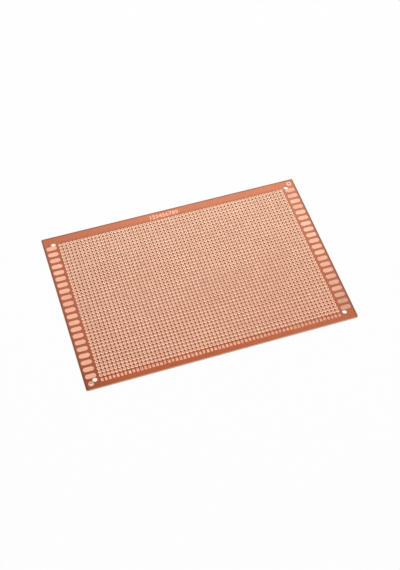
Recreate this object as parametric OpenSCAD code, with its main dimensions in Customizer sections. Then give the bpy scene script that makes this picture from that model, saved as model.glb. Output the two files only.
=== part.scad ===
/* [Grid] */
// Distance between neighbouring holes
pitch = 2.54; // [2.4:0.01:2.8]
// Number of holes along the board
columns = 63; // [14:1:63]
// Number of holes across the board
rows = 42; // [4:2:48]
// Diameter of a component hole
hole_d = 1.0; // [0.8:0.05:1.3]
// Diameter of the round pad about a hole
pad_d = 2.3; // [1.6:0.05:2.4]
// Thickness of the copper foil
copper_t = 0.035; // [0.018:0.001:0.105]

/* [Board] */
// Thickness of the phenolic board
board_t = 1.2; // [0.8:0.1:2.4]
// First column of holes to the short edge
side_margin = 11.26; // [11:0.01:20]
// First row of holes to the long edge
end_margin = 7.93; // [7.5:0.01:15]
// Radius of the corners
corner_r = 1.0; // [0.4:0.1:2]

/* [Edge pads] */
// Length of an oblong edge pad
edge_pad_l = 7.1; // [5:0.1:8]
// Width of an oblong edge pad
edge_pad_w = 3.2; // [2:0.1:4]
// Middle of an edge pad to the short edge
edge_pad_inset = 5.08; // [4.6:0.01:5.5]

/* [Mounting holes] */
// Diameter of a mounting hole
mount_d = 3.2; // [2.6:0.1:3.6]
// Middle of a mounting hole to the short edge
mount_inset_x = 7.0; // [6.5:0.1:8]
// Middle of a mounting hole to the long edge
mount_inset_y = 6.2; // [5:0.1:7]

/* [Tooling rings] */
// Outer diameter of a copper ring
ring_d = 3.5; // [2.5:0.1:4]
// Diameter of the hole in a ring
ring_hole_d = 1.5; // [0.8:0.1:1.8]
// Middle of a ring to the short edge
ring_inset_x = 4.0; // [3:0.1:5]
// Middle of a ring to the long edge
ring_inset_y = 3.8; // [3:0.1:4.5]

/* [Scribed hairlines] */
// Columns of holes between two hairlines across the board
panel_columns = 9; // [5:1:12]
// Width of a hairline
hairline_w = 0.1; // [0.06:0.02:0.2]

/* [Hidden] */
$fn = 48;
phenolic_colour = [0.78, 0.44, 0.28];
copper_colour = [0.96, 0.73, 0.61];
board_l = (columns - 1) * pitch + 2 * side_margin;
board_w = (rows - 1) * pitch + 2 * end_margin;
// How far a cutting shape runs past the face that it cuts
past = 1;

function column_x(c) = (c - (columns - 1) / 2) * pitch;
function row_y(r) = (r - (rows - 1) / 2) * pitch;
function row_name(r) = str("pad_row_", r < 9 ? "0" : "", r + 1);

// Flat plate with rounded corners, standing on z = 0
module rounded_plate(l, w, r, h) {
  linear_extrude(h) {
    square([l - 2 * r, w], center = true);
    square([l, w - 2 * r], center = true);
    for (x = [-1, 1], y = [-1, 1])
      translate([x * (l / 2 - r), y * (w / 2 - r)])
        circle(r);
  }
}

// Foil land with round ends, lying along X
module oblong_land(l, w) {
  linear_extrude(copper_t) {
    square([l - w, w], center = true);
    for (x = [-1, 1])
      translate([x * (l - w) / 2, 0])
        circle(d = w);
  }
}

// Round foil land with its hole
module round_land(outer_d, inner_d) {
  difference() {
    cylinder(d = outer_d, h = copper_t);
    translate([0, 0, -past])
      cylinder(d = inner_d, h = copper_t + 2 * past);
  }
}

// Drill that goes through the board and the foil on it
module drill(d) {
  translate([0, 0, -past])
    cylinder(d = d, h = board_t + copper_t + 2 * past);
}

module at_mounting_holes() {
  for (x = [-1, 1], y = [-1, 1])
    translate([x * (board_l / 2 - mount_inset_x), y * (board_w / 2 - mount_inset_y), 0])
      children();
}

// The rings stand in two opposite corners only
module at_tooling_rings() {
  for (s = [-1, 1])
    translate([s * (board_l / 2 - ring_inset_x), s * (board_w / 2 - ring_inset_y), 0])
      children();
}

// V-shaped hairline across both faces, midway between two columns
module hairline(c) {
  for (z = [0, board_t])
    translate([column_x(c) - pitch / 2, board_w / 2 + past, z])
      rotate([90, 0, 0])
        linear_extrude(board_w + 2 * past)
          rotate(45)
            square(hairline_w / sqrt(2), center = true);
}

module board() {
  color(phenolic_colour)
    difference() {
      rounded_plate(board_l, board_w, corner_r, board_t);
      for (c = [0 : columns - 1])
        for (r = [0 : rows - 1])
          translate([column_x(c), row_y(r), 0])
            drill(hole_d);
      at_mounting_holes()
        drill(mount_d);
      at_tooling_rings()
        drill(ring_hole_d);
      for (c = [panel_columns : panel_columns : columns - 1])
        hairline(c);
    }
}

module pad_row(r) {
  color(copper_colour)
    for (c = [0 : columns - 1])
      translate([column_x(c), row_y(r), board_t])
        round_land(pad_d, hole_d);
}

// Each edge pad stands between two rows, and the corner ones give way to the mounting holes
module edge_pads(side) {
  color(copper_colour)
    difference() {
      for (r = [0 : 2 : rows - 2])
        translate([side * (board_l / 2 - edge_pad_inset), (row_y(r) + row_y(r + 1)) / 2, board_t])
          oblong_land(edge_pad_l, edge_pad_w);
      at_mounting_holes()
        drill(mount_d);
    }
}

module tooling_rings() {
  color(copper_colour)
    at_tooling_rings()
      translate([0, 0, board_t])
        round_land(ring_d, ring_hole_d);
}

board();
edge_pads(-1);  // left_edge_pads
edge_pads(1);  // right_edge_pads
tooling_rings();
for (r = [0 : rows - 1])
  pad_row(r);
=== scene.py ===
"""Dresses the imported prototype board: drilled laminate, copper pads, edge pads and etched numbers."""

import math

import bmesh
import bpy
from mathutils import Matrix, Quaternion, Vector


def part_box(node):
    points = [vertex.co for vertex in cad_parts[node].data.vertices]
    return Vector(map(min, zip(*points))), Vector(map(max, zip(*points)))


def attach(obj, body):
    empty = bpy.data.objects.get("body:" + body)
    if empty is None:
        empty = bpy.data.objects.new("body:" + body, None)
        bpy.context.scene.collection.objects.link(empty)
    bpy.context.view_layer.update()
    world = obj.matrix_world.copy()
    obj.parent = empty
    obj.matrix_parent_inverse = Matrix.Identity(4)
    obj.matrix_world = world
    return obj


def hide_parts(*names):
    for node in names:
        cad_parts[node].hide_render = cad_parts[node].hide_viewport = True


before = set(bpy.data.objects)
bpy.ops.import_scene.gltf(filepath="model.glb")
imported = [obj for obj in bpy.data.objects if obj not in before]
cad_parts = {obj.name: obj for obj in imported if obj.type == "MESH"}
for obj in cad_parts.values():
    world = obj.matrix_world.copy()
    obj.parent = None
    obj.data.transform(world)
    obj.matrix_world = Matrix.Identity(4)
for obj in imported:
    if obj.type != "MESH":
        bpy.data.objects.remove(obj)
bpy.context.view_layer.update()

bl_info = {
    "name": "Prototype board",
    "version": (1, 0, 0),
    "blender": (4, 5, 0),
    "location": "View3D > Sidebar > Board",
    "description": "Drilled phenolic board with copper pads, on a plain studio floor",
    "category": "Object",
}

MM = 0.001

# The grid is read from the frame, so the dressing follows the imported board
BOARD_LOW, BOARD_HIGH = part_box("board")
BOARD_SIZE = BOARD_HIGH - BOARD_LOW
BOARD_T = BOARD_HIGH.z
PAD_ROWS = sorted(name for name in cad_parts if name.startswith("pad_row_"))
FIRST_ROW_LOW, FIRST_ROW_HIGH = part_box(PAD_ROWS[0])
COPPER_TOP = FIRST_ROW_HIGH.z
PAD_D = FIRST_ROW_HIGH.y - FIRST_ROW_LOW.y
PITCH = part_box(PAD_ROWS[1])[0].y - FIRST_ROW_LOW.y
ROWS = len(PAD_ROWS)
COLUMNS = round((FIRST_ROW_HIGH.x - FIRST_ROW_LOW.x - PAD_D) / PITCH) + 1
FIELD_REACH = Vector((COLUMNS * PITCH / 2, ROWS * PITCH / 2))
RINGS_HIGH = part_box("tooling_rings")[1]

# CAD nodes that are shown as they are, with a finish of their own
CAD_COPPER = ("left_edge_pads", "right_edge_pads", "tooling_rings")

# Segments of each round shape, in a full turn or in one bevel
HOLE_SEGMENTS = 12
PAD_SEGMENTS = 16
TOOLING_SEGMENTS = 24
MOUNT_SEGMENTS = 40
CORNER_SEGMENTS = 8
BREAK_SEGMENTS = 2
GLYPH_SEGMENTS = 3

# Points nearer than this are welded, in the laminate and the pads, and in the digits
WELD = 0.001 * MM
DIGIT_WELD = 0.0005 * MM

# An edge of the drilled field that is nearer than this to its border lies on it
BORDER = 0.01 * MM

# A face is level where the height of its normal is over FLAT, and a wall where it is under UPRIGHT
FLAT = 0.98
UPRIGHT = 0.1

# A round corner lies at most 0.3 of its radius inside the square one, so a little more finds all of it
CORNER_SHARE = 0.35

# The drift of the laminate's tone from the near left to the far right, in shares of the whole. The drift is
# painted light: the face is painted paler towards the far right, and less so in the far left corner. Only its
# clouds are the sheet's own tone
DRIFT_START = 0.35
DRIFT_ALONG = 0.32
DRIFT_ACROSS = 0.72
DRIFT_CLOUDS = 0.3
FAR_LEFT_LAG = 0.38
FAR_LEFT_REACH = 70.0 * MM
# Reach of the painted shade in the near left corner
NEAR_LEFT_REACH = 22.0 * MM

# Where the painted shade between the pads and the darker rim of the laminate begin and end, counted inwards
# from an edge or up from the back
FIELD_FADE = (0.5 * MM, 0.9 * MM)
NEAR_FADE = (3.2 * MM, 8.4 * MM)
FAR_FADE = (5.0 * MM, 8.5 * MM)
RIM_FADE = (0.7 * MM, 1.3 * MM)
HEIGHT_FADE = (0.3 * BOARD_T, 0.7 * BOARD_T)

# Stains on the foil from broad to fine, as scale, detail and share, and the share that a land has of its own
STAINS = ((28.0, 3.0, 0.35), (280.0, 2.0, 0.3), (1100.0, 2.0, 0.15))
LAND_SHARE = 0.2

# The span of a noise over which one colour turns into the other
GRAIN_SPAN = (0.36, 0.64)
LAYER_SPAN = (0.38, 0.62)
STAIN_SPAN = (0.3, 0.7)

# Roughness of the smoothest spots of the etched face, of cut paper and of the foil
SATIN = 0.36
DRY = 0.68
ROLLED = 0.38

# Depth of the foil's rolling marks, and where a pad dips towards its hole, from the hole's middle
ROLLING_DEPTH = 0.0015 * MM
DIP_FADE = (0.15 * PITCH, 0.45 * PITCH)

# The copper is darkened fully this near to the near right corner, and less as far as these reaches
DARKENED_FULLY = 10.0 * MM
EDGE_DARKENED = 65.0 * MM
MARK_DARKENED = 130.0 * MM

# Share of the floor's look that is even white. The rest is matt, and keeps the board's shadow
FLOOR_GLOW = 0.95
WHITE = (1.0, 1.0, 1.0)


class LaminateSettings(bpy.types.PropertyGroup):
    """Sizes and colours of the drilled laminate"""

    hole_d: bpy.props.FloatProperty(
        name="Hole", description="Diameter of a component hole",
        default=1.0 * MM, min=0.5 * MM, max=1.4 * MM, precision=5, unit="LENGTH",
    )
    mount_d: bpy.props.FloatProperty(
        name="Mounting hole", description="Diameter of a corner hole",
        default=3.2 * MM, min=2.0 * MM, max=4.0 * MM, precision=5, unit="LENGTH",
    )
    mount_inset: bpy.props.FloatVectorProperty(
        name="Mounting inset", description="Middle of a corner hole to the short and the long edge",
        size=2, default=(7.0 * MM, 6.2 * MM), precision=5, subtype="TRANSLATION",
    )
    tooling_d: bpy.props.FloatProperty(
        name="Tooling hole", description="Diameter of the hole in a tooling ring",
        default=1.5 * MM, min=0.8 * MM, max=2.0 * MM, precision=5, unit="LENGTH",
    )
    ring_d: bpy.props.FloatProperty(
        name="Tooling ring", description="Outer diameter of a tooling ring",
        default=3.5 * MM, min=2.0 * MM, max=5.0 * MM, precision=5, unit="LENGTH",
    )
    corner_r: bpy.props.FloatProperty(
        name="Corner", description="Radius of the board's corners",
        default=1.0 * MM, min=0.2 * MM, max=3.0 * MM, precision=5, unit="LENGTH",
    )
    edge_break: bpy.props.FloatProperty(
        name="Edge break", description="Width of the broken edge round the outline",
        default=0.16 * MM, min=0.02 * MM, max=0.5 * MM, precision=5, unit="LENGTH",
    )
    # Painted light: the far tone is paler than the near tone, and the face drifts from one to the other
    near_tone: bpy.props.FloatVectorProperty(
        name="Near tone", description="Colour of the etched face at the near left corner",
        size=3, default=(0.545, 0.111, 0.027), min=0.0, max=1.0, subtype="COLOR",
    )
    far_tone: bpy.props.FloatVectorProperty(
        name="Far tone", description="Colour of the etched face at the far right corner",
        size=3, default=(0.86, 0.270, 0.130), min=0.0, max=1.0, subtype="COLOR",
    )
    grain: bpy.props.FloatVectorProperty(
        name="Grain", description="Share of the colour that is left in the dark fibres of the paper",
        size=3, default=(0.86, 0.80, 0.74), min=0.0, max=1.0, subtype="COLOR",
    )
    # Painted shade: the laminate between the round pads is darkened by these shares
    near_gap: bpy.props.FloatVectorProperty(
        name="Near gap", description="Share of the near tone that is left between the round pads",
        size=3, default=(0.54, 0.50, 0.40), min=0.0, max=1.0, subtype="COLOR",
    )
    far_gap: bpy.props.FloatVectorProperty(
        name="Far gap", description="Share of the far tone that is left between the round pads",
        size=3, default=(0.42, 0.44, 0.34), min=0.0, max=1.0, subtype="COLOR",
    )
    # Painted shade: the laminate between the edge pads is darkened by this share
    strip_shade: bpy.props.FloatVectorProperty(
        name="Strip shade", description="Share of the colour that is left between the edge pads",
        size=3, default=(0.82, 0.88, 0.99), min=0.0, max=1.0, subtype="COLOR",
    )
    # Painted shade: the near left corner is darkened by this share
    corner_shade: bpy.props.FloatVectorProperty(
        name="Corner shade", description="Share of the colour that is left in the near left corner",
        size=3, default=(0.72, 0.66, 0.60), min=0.0, max=1.0, subtype="COLOR",
    )
    rim_shade: bpy.props.FloatVectorProperty(
        name="Rim shade", description="Share of the colour that is left along the far and the short edges",
        size=3, default=(0.50, 0.53, 0.56), min=0.0, max=1.0, subtype="COLOR",
    )
    cut: bpy.props.FloatVectorProperty(
        name="Cut edge", description="Colour of the sheared sides and of the walls of the large holes",
        size=3, default=(0.86, 0.50, 0.30), min=0.0, max=1.0, subtype="COLOR",
    )
    ply: bpy.props.FloatVectorProperty(
        name="Ply", description="Colour of the darker paper layers along a sheared side",
        size=3, default=(0.72, 0.36, 0.19), min=0.0, max=1.0, subtype="COLOR",
    )
    bruise: bpy.props.FloatVectorProperty(
        name="Bruise", description="Colour of broken resin round the outline",
        size=3, default=(0.92, 0.68, 0.45), min=0.0, max=1.0, subtype="COLOR",
    )
    # Painted light: the walls of the component holes are set much paler than the laminate, to light the
    # shaded holes
    drilled: bpy.props.FloatVectorProperty(
        name="Drilled wall", description="Colour of the walls of the component holes",
        size=3, default=(1.0, 0.72, 0.54), min=0.0, max=1.0, subtype="COLOR",
    )


class CopperSettings(bpy.types.PropertyGroup):
    """Sizes and colours of the copper foil"""

    etch_slope: bpy.props.FloatProperty(
        name="Etch slope", description="How far the foil's edge leans in from its foot",
        default=0.03 * MM, min=0.0, max=0.1 * MM, precision=6, unit="LENGTH",
    )
    rim_dip: bpy.props.FloatProperty(
        name="Rim dip", description="How far a round pad seems to dip towards its hole",
        default=0.06 * MM, min=0.0, max=0.2 * MM, precision=6, unit="LENGTH",
    )
    bright: bpy.props.FloatVectorProperty(
        name="Edge copper", description="Colour of clean foil on the edge pads and the tooling rings",
        size=3, default=(0.70, 0.362, 0.246), min=0.0, max=1.0, subtype="COLOR",
    )
    tarnish: bpy.props.FloatVectorProperty(
        name="Edge tarnish", description="Colour of edge pads that have begun to darken",
        size=3, default=(0.58, 0.292, 0.200), min=0.0, max=1.0, subtype="COLOR",
    )
    # Painted highlight: the round pads' foil is set paler than the edge pads' foil, though both are the same
    # copper
    pad_bright: bpy.props.FloatVectorProperty(
        name="Pad copper", description="Colour of clean foil on the round pads, paler from drilling",
        size=3, default=(0.770, 0.448, 0.318), min=0.0, max=1.0, subtype="COLOR",
    )
    pad_tarnish: bpy.props.FloatVectorProperty(
        name="Pad tarnish", description="Colour of round pads that have begun to darken",
        size=3, default=(0.703, 0.384, 0.266), min=0.0, max=1.0, subtype="COLOR",
    )
    pad_near: bpy.props.FloatVectorProperty(
        name="Near pads", description="Share of the pad copper's colour that is left at the near edge",
        size=3, default=(1.0, 0.952, 0.918), min=0.0, max=1.0, subtype="COLOR",
    )
    pad_far: bpy.props.FloatVectorProperty(
        name="Far pads", description="Share of the pad copper's colour that is left at the far edge",
        size=3, default=(0.888, 1.0, 1.0), min=0.0, max=1.0, subtype="COLOR",
    )
    edge_far: bpy.props.FloatVectorProperty(
        name="Far edge copper", description="Share of the colour that the other copper keeps at the far edge",
        size=3, default=(0.925, 0.925, 0.925), min=0.0, max=1.0, subtype="COLOR",
    )
    handled: bpy.props.FloatVectorProperty(
        name="Darkened", description="Share of the colour that the other copper keeps where it was handled",
        size=3, default=(0.79, 0.79, 0.79), min=0.0, max=1.0, subtype="COLOR",
    )
    mark: bpy.props.FloatVectorProperty(
        name="Mark copper", description="Colour of the foil of the numbers",
        size=3, default=(0.775, 0.376, 0.257), min=0.0, max=1.0, subtype="COLOR",
    )
    number_stroke: bpy.props.FloatProperty(
        name="Number stroke", description="How much bolder column numbers are than the font, in letter sizes",
        default=0.1, min=0.0, max=0.12, subtype="FACTOR",
    )
    scale_stroke: bpy.props.FloatProperty(
        name="Far stroke", description="How much bolder far digits are than the font, in letter sizes",
        default=0.025, min=0.0, max=0.12, subtype="FACTOR",
    )
    number_size: bpy.props.FloatVectorProperty(
        name="Column number", description="Width and height of a column's number",
        size=2, default=(1.65 * MM, 2.5 * MM), precision=5, subtype="TRANSLATION",
    )
    number_inset: bpy.props.FloatProperty(
        name="Number inset", description="Middle of the column numbers to the near edge",
        default=4.7 * MM, min=2.0 * MM, max=8.0 * MM, precision=5, unit="LENGTH",
    )
    scale_size: bpy.props.FloatVectorProperty(
        name="Far scale", description="Width and height of the row of plain digits on the far margin",
        size=2, default=(20.0 * MM, 3.3 * MM), precision=5, subtype="TRANSLATION",
    )
    scale_place: bpy.props.FloatVectorProperty(
        name="Far scale place", description="Middle of the far digits from the board's middle",
        size=2, default=(-5.0 * MM, 56.1 * MM), precision=5, subtype="TRANSLATION",
    )


class StudioSettings(bpy.types.PropertyGroup):
    """Camera, light and floor"""

    camera_place: bpy.props.FloatVectorProperty(
        name="Camera", description="Place of the camera",
        size=3, default=(-0.13137, -0.37880, COPPER_TOP + 0.58124), subtype="TRANSLATION",
    )
    camera_aim: bpy.props.FloatVectorProperty(
        name="Aim", description="Point of the board in the middle of the picture",
        size=3, default=(0.00046, -0.00644, COPPER_TOP), subtype="TRANSLATION",
    )
    camera_roll: bpy.props.FloatProperty(
        name="Roll", description="Turn of the camera about its line of sight",
        default=math.radians(1.751), subtype="ANGLE",
    )
    camera_lens: bpy.props.FloatProperty(
        name="Lens", description="Focal length in millimetres on a 36 mm sensor",
        default=67.99, min=10.0, max=300.0, unit="CAMERA",
    )
    floor_colour: bpy.props.FloatVectorProperty(
        name="Floor", description="Colour of the studio floor",
        size=3, default=(0.92, 0.92, 0.92), min=0.0, max=1.0, subtype="COLOR",
    )
    floor_size: bpy.props.FloatProperty(
        name="Floor size", description="Length of a side of the floor",
        default=6.0, min=1.0, max=20.0, unit="LENGTH",
    )
    dome: bpy.props.FloatProperty(
        name="Dome", description="Strength of the even light from all sides",
        default=0.59, min=0.0, max=2.0,
    )
    lamp_power: bpy.props.FloatProperty(
        name="Lamp", description="Power of the soft lamp behind the board",
        default=6.0, min=0.0, max=100.0, unit="POWER",
    )
    lamp_place: bpy.props.FloatVectorProperty(
        name="Lamp place", description="Place of the soft lamp",
        size=3, default=(0.28, 0.86, 0.58), subtype="TRANSLATION",
    )
    lamp_size: bpy.props.FloatProperty(
        name="Lamp size", description="Side of the soft lamp",
        default=0.9, min=0.05, max=3.0, unit="LENGTH",
    )


class Signal:
    """A shader socket that takes part in sums as a number does"""

    def __init__(self, tree, socket=None):
        self.tree = tree
        self.socket = socket

    def make(self, kind, settings=None, inputs=None, output=0):
        """Adds a node, sets it up, feeds its sockets, and gives one of its outputs"""
        node = self.tree.nodes.new(kind)
        for name, value in (settings or {}).items():
            setattr(node, name, value)
        for name, value in (inputs or {}).items():
            if isinstance(value, Signal):
                self.tree.links.new(value.socket, node.inputs[name])
            else:
                node.inputs[name].default_value = value
        return Signal(self.tree, node.outputs[output]) if node.outputs else None

    def maths(self, operation, first, second):
        """One sum of two numbers or signals"""
        return self.make("ShaderNodeMath", {"operation": operation}, {0: first, 1: second})

    def vector_maths(self, operation, *others, output="Vector"):
        """One sum of this place with others"""
        inputs = dict(enumerate((self, *others)))
        return self.make("ShaderNodeVectorMath", {"operation": operation}, inputs, output)

    def __add__(self, other):
        return self.maths("ADD", self, other)

    def __sub__(self, other):
        return self.maths("SUBTRACT", self, other)

    def __rsub__(self, other):
        return self.maths("SUBTRACT", other, self)

    def __mul__(self, other):
        return self.maths("MULTIPLY", self, other)

    __radd__ = __add__
    __rmul__ = __mul__

    def blended(self, other, share):
        """This number with a share of another in its place"""
        return self * (1.0 - share) + other * share

    def mix(self, first, second):
        """Colour between two others, by this signal"""
        colours = {"Factor": self, 6: opaque(first), 7: opaque(second)}
        return self.make("ShaderNodeMix", {"data_type": "RGBA"}, colours, output=2)

    def tinted(self, by):
        """This colour times another"""
        colours = {"Factor": 1.0, 6: self, 7: opaque(by)}
        settings = {"data_type": "RGBA", "blend_type": "MULTIPLY"}
        return self.make("ShaderNodeMix", settings, colours, output=2)

    def axis(self, name):
        """One number of this place"""
        return self.make("ShaderNodeSeparateXYZ", None, {"Vector": self}, output=name)

    def inside(self, reach):
        """How far this number is from the ends of a span about 0"""
        return reach - self.maths("ABSOLUTE", self, 0.0)

    def distance_to(self, point):
        """How far this place is from a point"""
        return self.vector_maths("DISTANCE", point, output="Value")

    def noise(self, scale, detail, stretch=(1.0, 1.0, 1.0)):
        """Even noise from 0 to 1 about this place, with its grains stretched along the axes"""
        drawn = self.make("ShaderNodeMapping", None, {"Vector": self, "Scale": stretch})
        inputs = {"Vector": drawn, "Scale": scale, "Detail": detail, "Roughness": 0.55}
        return self.make("ShaderNodeTexNoise", {"noise_dimensions": "3D"}, inputs)

    def spread(self, low, high):
        """This signal from 0 at low to 1 at high, and no further"""
        inputs = {"Value": self, "From Min": low, "From Max": high}
        return self.make("ShaderNodeMapRange", {"clamp": True}, inputs)


def opaque(colour):
    """A colour with full alpha, or a signal as it is"""
    return colour if isinstance(colour, Signal) else (*colour, 1.0)


def darker(colour, share):
    """A colour of which only this share of the light is left"""
    return [share * part for part in colour]


def fresh_nodes(owner):
    """Clears the nodes of a material or world, and gives the signal that new ones start from"""
    owner.use_nodes = True
    owner.node_tree.nodes.clear()
    return Signal(owner.node_tree)


def new_material(name):
    """An empty node material, and the signal that its nodes start from"""
    material = bpy.data.materials.new(name)
    return material, fresh_nodes(material)


def object_place(start):
    """The place on the piece that is being shaded"""
    return start.make("ShaderNodeTexCoord", output="Object")


def finish_surface(start, inputs):
    """Ends a material in a Principled surface with these sockets"""
    shader = start.make("ShaderNodeBsdfPrincipled", None, inputs)
    start.make("ShaderNodeOutputMaterial", None, {"Surface": shader})


def laminate_drift(place, clouds):
    """0 at the near left to 1 at the far right, clouded, and held back in the far left corner. It is painted
    light, save for the clouds, which are the sheet's own tone
    """
    along = place.axis("X") * (DRIFT_ALONG / BOARD_SIZE.x)
    across = place.axis("Y") * (DRIFT_ACROSS / BOARD_SIZE.y)
    far_left = place.distance_to((BOARD_LOW.x, BOARD_HIGH.y, BOARD_T)).spread(FAR_LEFT_REACH, 0.0)
    drift = along + across + clouds * DRIFT_CLOUDS + DRIFT_START
    return (drift - far_left * FAR_LEFT_LAG).spread(0.0, 1.0)


def among_lands(place):
    """Where the painted shade lies: 1 on the etched face between the near and the far margin, and 0 on the
    margins and the back
    """
    y = place.axis("Y")
    rows = (y - BOARD_LOW.y).spread(*NEAR_FADE) * (BOARD_HIGH.y - y).spread(*FAR_FADE)
    return rows * place.axis("Z").spread(*HEIGHT_FADE)


def off_rim(place):
    """0 along the far and the short edges, and 1 further in"""
    far_edge = BOARD_HIGH.y - place.axis("Y")
    short_edge = place.axis("X").inside(BOARD_HIGH.x)
    return place.maths("MINIMUM", short_edge, far_edge).spread(*RIM_FADE)


def etched_laminate(look):
    """Etched phenolic paper: resin over fibres, paler to the far right as painted light, with a satin skin.
    Painted shade darkens it in the near left corner and between the pads
    """
    material, start = new_material("etched_laminate")
    place = object_place(start)
    clouds = place.noise(scale=45.0, detail=3.0)
    fibres = place.noise(scale=900.0, detail=4.0, stretch=(1.0, 0.3, 1.0))
    flecks = place.noise(scale=3200.0, detail=2.0)
    drift = laminate_drift(place, clouds)
    # Painted shade, darkest in the near left corner
    painted_corner_shade = place.distance_to((BOARD_LOW.x, BOARD_LOW.y, BOARD_T)).spread(NEAR_LEFT_REACH, 0.0)
    # Painted light: paler towards the far right
    tone = drift.mix(look.near_tone, look.far_tone)
    tone = painted_corner_shade.mix(tone, tone.tinted(look.corner_shade))
    grain = fibres.blended(flecks, share=0.3).spread(*GRAIN_SPAN)
    paper = grain.mix(tone.tinted(look.grain), tone)
    # Painted shade between the round pads and between the edge pads, on the top face only
    among_pads = place.axis("X").inside(FIELD_REACH.x).spread(*FIELD_FADE)
    shade = among_pads.mix(look.strip_shade, drift.mix(look.near_gap, look.far_gap))
    painted_shade_face = among_lands(place).mix(paper, paper.tinted(shade))
    bump = {"Strength": 0.25, "Distance": 0.02 * MM, "Height": fibres.blended(flecks, share=0.4)}
    finish_surface(start, {
        "Base Color": off_rim(place).mix(painted_shade_face.tinted(look.rim_shade), painted_shade_face),
        "Roughness": SATIN + flecks * 0.1 + clouds * 0.08,
        "Normal": start.make("ShaderNodeBump", None, bump),
        "Specular IOR Level": 0.3,
    })
    return material


def cut_material(name, pale, dark):
    """Cut paper, dry and rough, with its layers showing"""
    material, start = new_material(name)
    place = object_place(start)
    layers = place.noise(scale=700.0, detail=3.0, stretch=(0.12, 0.12, 6.0))
    tears = place.noise(scale=2400.0, detail=3.0)
    wall = layers.blended(tears, share=0.35).spread(*LAYER_SPAN)
    bump = {"Strength": 0.4, "Distance": 0.03 * MM, "Height": layers.blended(tears, share=0.5)}
    finish_surface(start, {
        "Base Color": wall.mix(dark, pale),
        "Roughness": DRY + tears * 0.2,
        "Normal": start.make("ShaderNodeBump", None, bump),
    })
    return material


def sheared_side(look):
    """Sheared sides of the laminate, and the walls of its large holes"""
    return cut_material("sheared_side", look.cut, look.ply)


def bruised_rim(look):
    """Broken resin round the outline"""
    return cut_material("bruised_rim", look.bruise, darker(look.bruise, share=0.9))


def drilled_wall_painted_light(look):
    """Walls of the component holes, a little scorched by the drill, and painted far paler than the paper as
    painted light in the holes
    """
    return cut_material("drilled_wall_painted_light", look.drilled, darker(look.drilled, share=0.8))


LAMINATE_FINISHES = (etched_laminate, sheared_side, bruised_rim, drilled_wall_painted_light)


def copper_material(name, bright, dull, cell, tint, rim_dip=0.0):
    """Rolled copper foil under a thin lacquer, a little different from one cell to the next.
    A cell has a width, a depth and a shift along its depth, in cells."""
    material, start = new_material(name)
    place = object_place(start)
    width, depth, shift = cell
    counted = place.vector_maths("MULTIPLY_ADD", (1.0 / width, 1.0 / depth, 0.0), (0.5, shift, 0.0))
    land = counted.vector_maths("FLOOR")
    each = start.make("ShaderNodeTexWhiteNoise", {"noise_dimensions": "3D"}, {"Vector": land})
    stains = each * LAND_SHARE
    for scale, detail, share in STAINS:
        stains = stains + place.noise(scale, detail) * share
    tarnish = stains.spread(*STAIN_SPAN)
    rolling = place.noise(scale=2600.0, detail=3.0, stretch=(0.12, 1.0, 1.0))
    relief = rolling * ROLLING_DEPTH
    if rim_dip:
        from_hole = counted.vector_maths("FRACTION").distance_to((0.5, 0.5, 0.0)) * width
        relief = relief + from_hole.spread(*DIP_FADE) * rim_dip
    bump = {"Strength": 1.0, "Distance": 1.0, "Height": relief}
    finish_surface(start, {
        "Base Color": tint(place, tarnish.mix(bright, dull)),
        "Metallic": 0.85,
        "Roughness": ROLLED + rolling * 0.12 + tarnish * 0.08,
        "Normal": start.make("ShaderNodeBump", None, bump),
        "Coat Weight": 0.1,
        "Coat Roughness": 0.25,
    })
    return material


def farness(place):
    """0 at the board's near edge and 1 at its far edge"""
    return place.axis("Y").spread(BOARD_LOW.y, BOARD_HIGH.y)


def handled_tint(look, reach):
    """Darkens copper to the far edge, and towards the near right corner"""
    def tint(place, foil):
        near_right = place.distance_to((BOARD_HIGH.x, BOARD_LOW.y, COPPER_TOP))
        foil = near_right.spread(reach, DARKENED_FULLY).mix(foil, foil.tinted(look.handled))
        return farness(place).mix(foil, foil.tinted(look.edge_far))
    return tint


def pad_copper(look):
    """Copper of the round pads, which differ from hole to hole and lose red to the far edge. It is paler than
    the edge copper as painted highlight
    """
    def tint(place, foil):
        return farness(place).mix(foil.tinted(look.pad_near), foil.tinted(look.pad_far))
    cell = (PITCH, PITCH, 0.0)
    return copper_material("pad_copper", look.pad_bright, look.pad_tarnish, cell, tint, look.rim_dip)


def edge_copper(look):
    """Copper of the edge pads, which differ along the board's edge"""
    cell = (BOARD_HIGH.x, 2.0 * PITCH, 0.5)
    return copper_material("edge_copper", look.bright, look.tarnish, cell, handled_tint(look, EDGE_DARKENED))


def mark_copper(look):
    """Copper of the numbers, which differ from column to column"""
    cell = (PITCH, BOARD_HIGH.y, 0.5)
    dull = darker(look.mark, share=0.9)
    return copper_material("mark_copper", look.mark, dull, cell, handled_tint(look, MARK_DARKENED))


def shared_material(make, look):
    """The material that a function makes under its own name, made once"""
    return bpy.data.materials.get(make.__name__) or make(look)


def mesh_object(name, bm, materials):
    """Turns a bmesh into an object of the scene"""
    mesh = bpy.data.meshes.new(name)
    bm.to_mesh(mesh)
    bm.free()
    for material in materials:
        mesh.materials.append(material)
    made = bpy.data.objects.new(name, mesh)
    bpy.context.collection.objects.link(made)
    return made


def add_piece(name, bm, materials, nodes=()):
    """Makes a bmesh a piece of the board, standing for these nodes"""
    piece = mesh_object(name, bm, materials)
    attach(piece, "root")
    if nodes:
        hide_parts(*nodes)


def repeat(bm, step, count):
    """Sets copies of all that is in a mesh beside it, a step apart, until there are count"""
    if count > 1:
        bmesh.ops.spin(
            bm, geom=bm.verts[:] + bm.edges[:] + bm.faces[:], cent=(0.0, 0.0, 0.0), axis=(0.0, 0.0, 1.0),
            dvec=step, angle=0.0, steps=count - 1, use_duplicate=True,
        )


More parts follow.
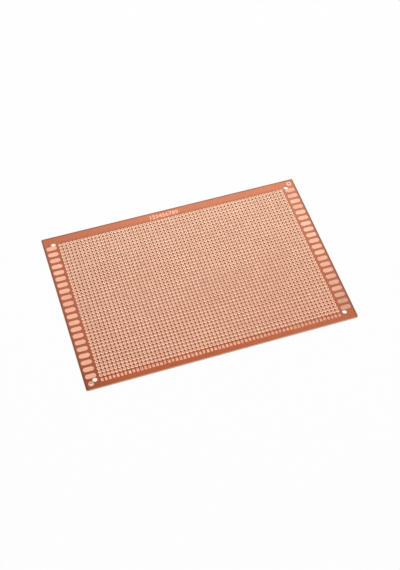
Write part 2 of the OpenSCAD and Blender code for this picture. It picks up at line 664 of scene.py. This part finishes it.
def repeat_over_grid(bm, rows, first_row):
    """Repeats a mesh at each hole of these rows, from the leftmost column on"""
    repeat(bm, (PITCH, 0.0, 0.0), COLUMNS)
    repeat(bm, (0.0, PITCH, 0.0), rows)
    corner = (-(COLUMNS - 1) / 2 * PITCH, (first_row - (ROWS - 1) / 2) * PITCH, 0.0)
    bmesh.ops.translate(bm, verts=bm.verts[:], vec=corner)


def edges_of(made):
    """The edges of a shape that an operator has just made"""
    return {edge for vert in made["verts"] for edge in vert.link_edges}


def loose_circle(bm, place, diameter, segments):
    """A bare ring of edges, for the rim of a hole"""
    middle = Matrix.Translation((*place, 0.0))
    return edges_of(bmesh.ops.create_circle(bm, segments=segments, radius=diameter / 2, matrix=middle))


def drilled_cell(bm, hole_d):
    """One square of the grid with its hole, as a ring of quads"""
    turn = Matrix.Rotation(math.pi / 4, 4, "Z")
    bmesh.ops.create_circle(bm, segments=HOLE_SEGMENTS, radius=hole_d / 2, matrix=turn)
    rim = bm.edges[:]
    square = bmesh.ops.create_circle(bm, segments=4, radius=PITCH / math.sqrt(2.0), matrix=turn)
    bmesh.ops.subdivide_edges(bm, edges=list(edges_of(square)), cuts=HOLE_SEGMENTS // 4 - 1)
    border = [edge for edge in bm.edges if edge not in set(rim)]
    bmesh.ops.bridge_loops(bm, edges=rim + border)


def outline_edges(bm, corner_r):
    """The board's outline with its round corners, as bare edges"""
    plate = bmesh.ops.create_grid(bm, x_segments=1, y_segments=1, size=0.5)
    bmesh.ops.scale(bm, vec=(BOARD_SIZE.x, BOARD_SIZE.y, 1.0), verts=plate["verts"])
    bmesh.ops.bevel(
        bm, geom=plate["verts"], offset=corner_r, offset_type="OFFSET", affect="VERTICES",
        segments=CORNER_SEGMENTS, profile=0.5, material=-1,
    )
    face = next(face for face in bm.faces if len(face.verts) > 4)
    edges = face.edges[:]
    bmesh.ops.delete(bm, geom=[face], context="FACES_ONLY")
    return edges


def on_outline(point, corner_r):
    """Whether a point lies on the board's outline, its corners included"""
    inset = min(BOARD_HIGH.x - abs(point.x), BOARD_HIGH.y - abs(point.y))
    return inset < corner_r * CORNER_SHARE


class PROTOTYPE_BOARD_OT_drill_laminate(bpy.types.Operator):
    """Makes the laminate with every hole drilled through it"""

    bl_idname = "prototype_board.drill_laminate"
    bl_label = "Drill laminate"

    def execute(self, context):
        look = context.scene.board_laminate
        bm = bmesh.new()
        drilled_cell(bm, look.hole_d)
        repeat_over_grid(bm, ROWS, 0)
        bmesh.ops.remove_doubles(bm, verts=bm.verts[:], dist=WELD)
        rims = {edge for edge in bm.edges if edge.is_boundary and self.is_border(edge)}
        rims.update(outline_edges(bm, look.corner_r))
        for place in self.corner_places(look):
            rims.update(loose_circle(bm, place, look.mount_d, MOUNT_SEGMENTS))
        for place in self.tooling_places(look):
            rims.update(loose_circle(bm, place, look.tooling_d, TOOLING_SEGMENTS))
        bmesh.ops.triangle_fill(bm, edges=list(rims), normal=(0.0, 0.0, 1.0), use_beauty=True)
        self.thicken(bm, look)
        for face in bm.faces:
            face.material_index = LAMINATE_FINISHES.index(self.finish_of(face))
        materials = [shared_material(finish, look) for finish in LAMINATE_FINISHES]
        add_piece("laminate", bm, materials, ("board",))
        return {"FINISHED"}

    @staticmethod
    def finish_of(face):
        """The finish of a face: etched if level, drilled in the field, or else sheared or broken"""
        if abs(face.normal.z) > FLAT:
            return etched_laminate
        middle = face.calc_center_median()
        if abs(middle.x) < FIELD_REACH.x and abs(middle.y) < FIELD_REACH.y:
            return drilled_wall_painted_light
        return sheared_side if abs(face.normal.z) < UPRIGHT else bruised_rim

    @staticmethod
    def is_border(edge):
        """Whether an edge of the drilled field lies on its border, and not in a hole"""
        middle = (edge.verts[0].co + edge.verts[1].co) / 2
        return min(FIELD_REACH.x - abs(middle.x), FIELD_REACH.y - abs(middle.y)) < BORDER

    @staticmethod
    def corner_places(look):
        """Middles of the four mounting holes"""
        reach = BOARD_HIGH.xy - Vector(look.mount_inset)
        return [(x * reach.x, y * reach.y) for x in (-1, 1) for y in (-1, 1)]

    @staticmethod
    def tooling_places(look):
        """Middles of the two tooling holes, in opposite corners"""
        reach = RINGS_HIGH.xy - Vector((look.ring_d / 2, look.ring_d / 2))
        return [(-reach.x, -reach.y), (reach.x, reach.y)]

    @staticmethod
    def thicken(bm, look):
        """Gives the drilled sheet its thickness and breaks the edges of its outline"""
        raised = bmesh.ops.extrude_face_region(bm, geom=bm.faces[:])
        lifted = [item for item in raised["geom"] if isinstance(item, bmesh.types.BMVert)]
        bmesh.ops.translate(bm, verts=lifted, vec=(0.0, 0.0, BOARD_T))
        bmesh.ops.recalc_face_normals(bm, faces=bm.faces[:])
        sharp = [
            edge for edge in bm.edges
            if all(on_outline(vert.co, look.corner_r) for vert in edge.verts)
            and edge.verts[0].co.z == edge.verts[1].co.z
            and any(abs(face.normal.z) < UPRIGHT for face in edge.link_faces)
        ]
        bmesh.ops.bevel(
            bm, geom=sharp, offset=look.edge_break, offset_type="OFFSET", affect="EDGES",
            segments=BREAK_SEGMENTS, profile=0.5, material=-1,
        )


class PROTOTYPE_BOARD_OT_lay_pads(bpy.types.Operator):
    """Lays a round copper pad about every component hole"""

    bl_idname = "prototype_board.lay_pads"
    bl_label = "Lay round pads"

    def execute(self, context):
        look = context.scene.board_copper
        hole_d = context.scene.board_laminate.hole_d
        copper = shared_material(pad_copper, look)
        half = ROWS // 2
        for name, first, count in (("near_pads", 0, half), ("far_pads", half, ROWS - half)):
            bm = bmesh.new()
            self.one_pad(bm, hole_d, look.etch_slope)
            repeat_over_grid(bm, count, first)
            add_piece(name, bm, (copper,), PAD_ROWS[first:first + count])
        return {"FINISHED"}

    @staticmethod
    def one_pad(bm, hole_d, slope):
        """A foil ring whose etched edges lean in, spun from its section"""
        section = (
            (PAD_D / 2, BOARD_T),
            (PAD_D / 2 - slope, COPPER_TOP),
            (hole_d / 2 + slope, COPPER_TOP),
            (hole_d / 2, BOARD_T),
        )
        points = [bm.verts.new((radius, 0.0, height)) for radius, height in section]
        sides = [bm.edges.new((points[i - 1], points[i])) for i in range(len(points))]
        bmesh.ops.spin(
            bm, geom=points + sides, cent=(0.0, 0.0, 0.0), axis=(0.0, 0.0, 1.0),
            angle=2.0 * math.pi, steps=PAD_SEGMENTS, use_merge=True,
        )
        bmesh.ops.remove_doubles(bm, verts=bm.verts[:], dist=WELD)
        bmesh.ops.recalc_face_normals(bm, faces=bm.faces[:])


class PROTOTYPE_BOARD_OT_finish_edge_pads(bpy.types.Operator):
    """Gives the oblong edge pads and the tooling rings their copper"""

    bl_idname = "prototype_board.finish_edge_pads"
    bl_label = "Finish edge pads"

    def execute(self, context):
        copper = shared_material(edge_copper, context.scene.board_copper)
        for name in CAD_COPPER:
            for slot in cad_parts[name].material_slots:
                slot.material = copper
        return {"FINISHED"}


def written(digits, stroke):
    """A mesh of digits in the plain font, made bolder by a stroke, at no special size"""
    curve = bpy.data.curves.new("digits", "FONT")
    curve.body = digits
    curve.align_x = "CENTER"
    curve.resolution_u = GLYPH_SEGMENTS
    curve.extrude = 0.5
    curve.bevel_depth = stroke
    curve.bevel_resolution = 0
    curve.space_character = 1.0 + stroke
    writer = bpy.data.objects.new("digits", curve)
    bpy.context.collection.objects.link(writer)
    bpy.context.view_layer.update()
    shape = writer.evaluated_get(bpy.context.evaluated_depsgraph_get())
    mesh = bpy.data.meshes.new_from_object(shape)
    bpy.data.objects.remove(writer)
    bpy.data.curves.remove(curve)
    return mesh


def etch(bm, digits, place, size, stroke):
    """Adds plain digits as foil on the board, fitted to a width and a height about a place"""
    mesh = written(digits, stroke)
    low = Vector([min(vert.co[axis] for vert in mesh.vertices) for axis in range(3)])
    high = Vector([max(vert.co[axis] for vert in mesh.vertices) for axis in range(3)])
    foil = Vector((size[0], size[1], COPPER_TOP - BOARD_T))
    grow = Vector([foil[axis] / (high[axis] - low[axis]) for axis in range(3)])
    to_place = Matrix.Translation((*place, (BOARD_T + COPPER_TOP) / 2))
    mesh.transform(to_place @ Matrix.Diagonal((*grow, 1.0)) @ Matrix.Translation(-(low + high) / 2))
    bm.from_mesh(mesh)
    bpy.data.meshes.remove(mesh)


class PROTOTYPE_BOARD_OT_etch_numbers(bpy.types.Operator):
    """Etches a plain number under each column, and a row of digits on the far margin"""

    bl_idname = "prototype_board.etch_numbers"
    bl_label = "Etch numbers"

    def execute(self, context):
        look = context.scene.board_copper
        copper = shared_material(mark_copper, look)
        bm = bmesh.new()
        for column in range(COLUMNS):
            place = ((column - (COLUMNS - 1) / 2) * PITCH, BOARD_LOW.y + look.number_inset)
            etch(bm, f"{column + 1:02d}", place, look.number_size, look.number_stroke)
        self.close(bm)
        add_piece("column_numbers", bm, (copper,))
        bm = bmesh.new()
        etch(bm, "123456789", look.scale_place, look.scale_size, look.scale_stroke)
        self.close(bm)
        add_piece("far_digits", bm, (copper,))
        return {"FINISHED"}

    @staticmethod
    def close(bm):
        """Joins the faces and sides of the digits into closed solids"""
        bmesh.ops.remove_doubles(bm, verts=bm.verts[:], dist=DIGIT_WELD)
        for face in bm.faces:
            face.smooth = False
        bmesh.ops.recalc_face_normals(bm, faces=bm.faces[:])


class PROTOTYPE_BOARD_OT_set_stage(bpy.types.Operator):
    """Sets the floor, the light and the camera"""

    bl_idname = "prototype_board.set_stage"
    bl_label = "Set stage"

    def execute(self, context):
        studio = context.scene.board_studio
        self.lay_floor(studio)
        self.light_dome(context, studio)
        self.hang_lamp(context, studio)
        self.place_camera(context, studio)
        context.scene.view_settings.view_transform = "Standard"
        return {"FINISHED"}

    @staticmethod
    def seen(start):
        """1 for what the camera sees straight, in gloss or through glass, and 0 for light"""
        straight = start.make("ShaderNodeLightPath", output="Is Camera Ray")
        gloss = start.make("ShaderNodeLightPath", output="Is Glossy Ray")
        through = start.make("ShaderNodeLightPath", output="Is Transmission Ray")
        return (straight + gloss + through).spread(0.0, 1.0)

    def lay_floor(self, studio):
        """A pale floor that shows near white and keeps part of the board's shadow"""
        material, start = new_material("studio_floor")
        matt = start.make("ShaderNodeBsdfDiffuse", None, {"Color": opaque(studio.floor_colour)})
        white = start.make("ShaderNodeEmission", None, {"Color": opaque(WHITE), "Strength": 1.0})
        shown = start.make("ShaderNodeMixShader", None, {0: self.seen(start) * FLOOR_GLOW, 1: matt, 2: white})
        start.make("ShaderNodeOutputMaterial", None, {"Surface": shown})
        bm = bmesh.new()
        bmesh.ops.create_grid(bm, x_segments=1, y_segments=1, size=studio.floor_size / 2)
        floor = mesh_object("studio_floor", bm, (material,))

    def light_dome(self, context, studio):
        """Even light from all sides, and white where the camera looks past the floor"""
        world = bpy.data.worlds.new("studio_dome")
        start = fresh_nodes(world)
        strength = studio.dome + self.seen(start) * (1.0 - studio.dome)
        light = start.make("ShaderNodeBackground", None, {"Color": opaque(WHITE), "Strength": strength})
        start.make("ShaderNodeOutputWorld", None, {"Surface": light})
        context.scene.world = world

    @staticmethod
    def hang_lamp(context, studio):
        """One large soft lamp behind and above the board"""
        light = bpy.data.lights.new("soft_lamp", "AREA")
        light.shape = "SQUARE"
        light.size = studio.lamp_size
        light.energy = studio.lamp_power
        lamp = bpy.data.objects.new("soft_lamp", light)
        lamp.location = studio.lamp_place
        lamp.rotation_mode = "QUATERNION"
        lamp.rotation_quaternion = (-lamp.location).to_track_quat("-Z", "Y")
        context.collection.objects.link(lamp)

    @staticmethod
    def place_camera(context, studio):
        """The camera over the near left corner, as the picture was taken"""
        view = bpy.data.cameras.new("view")
        view.lens = studio.camera_lens
        view.clip_start = 0.01
        view.clip_end = 100.0
        camera = bpy.data.objects.new("view", view)
        camera.location = studio.camera_place
        camera.rotation_mode = "QUATERNION"
        sight = Vector(studio.camera_aim) - Vector(studio.camera_place)
        roll = Quaternion((0.0, 0.0, 1.0), studio.camera_roll)
        camera.rotation_quaternion = sight.to_track_quat("-Z", "Y") @ roll
        context.collection.objects.link(camera)
        context.scene.camera = camera


class PROTOTYPE_BOARD_PT_steps(bpy.types.Panel):
    """Lists the steps that dress the board, with their settings"""

    bl_idname = "PROTOTYPE_BOARD_PT_steps"
    bl_label = "Prototype board"
    bl_space_type = "VIEW_3D"
    bl_region_type = "UI"
    bl_category = "Board"

    def draw(self, context):
        for step in STEPS:
            self.layout.operator(step.bl_idname)
        for group in SETTINGS:
            settings = getattr(context.scene, group)
            box = self.layout.box()
            for name in settings.__annotations__:
                box.prop(settings, name)


SETTINGS = {
    "board_laminate": LaminateSettings,
    "board_copper": CopperSettings,
    "board_studio": StudioSettings,
}
STEPS = (
    PROTOTYPE_BOARD_OT_drill_laminate,
    PROTOTYPE_BOARD_OT_lay_pads,
    PROTOTYPE_BOARD_OT_finish_edge_pads,
    PROTOTYPE_BOARD_OT_etch_numbers,
    PROTOTYPE_BOARD_OT_set_stage,
)


def register():
    for name, group in SETTINGS.items():
        bpy.utils.register_class(group)
        setattr(bpy.types.Scene, name, bpy.props.PointerProperty(type=group))
    for kind in (*STEPS, PROTOTYPE_BOARD_PT_steps):
        bpy.utils.register_class(kind)


def unregister():
    for kind in reversed((*STEPS, PROTOTYPE_BOARD_PT_steps)):
        bpy.utils.unregister_class(kind)
    for name, group in SETTINGS.items():
        delattr(bpy.types.Scene, name)
        bpy.utils.unregister_class(group)


def main():
    register()
    bpy.ops.prototype_board.drill_laminate()
    bpy.ops.prototype_board.lay_pads()
    bpy.ops.prototype_board.finish_edge_pads()
    bpy.ops.prototype_board.etch_numbers()
    bpy.ops.prototype_board.set_stage()


if __name__ == "__main__":
    main()
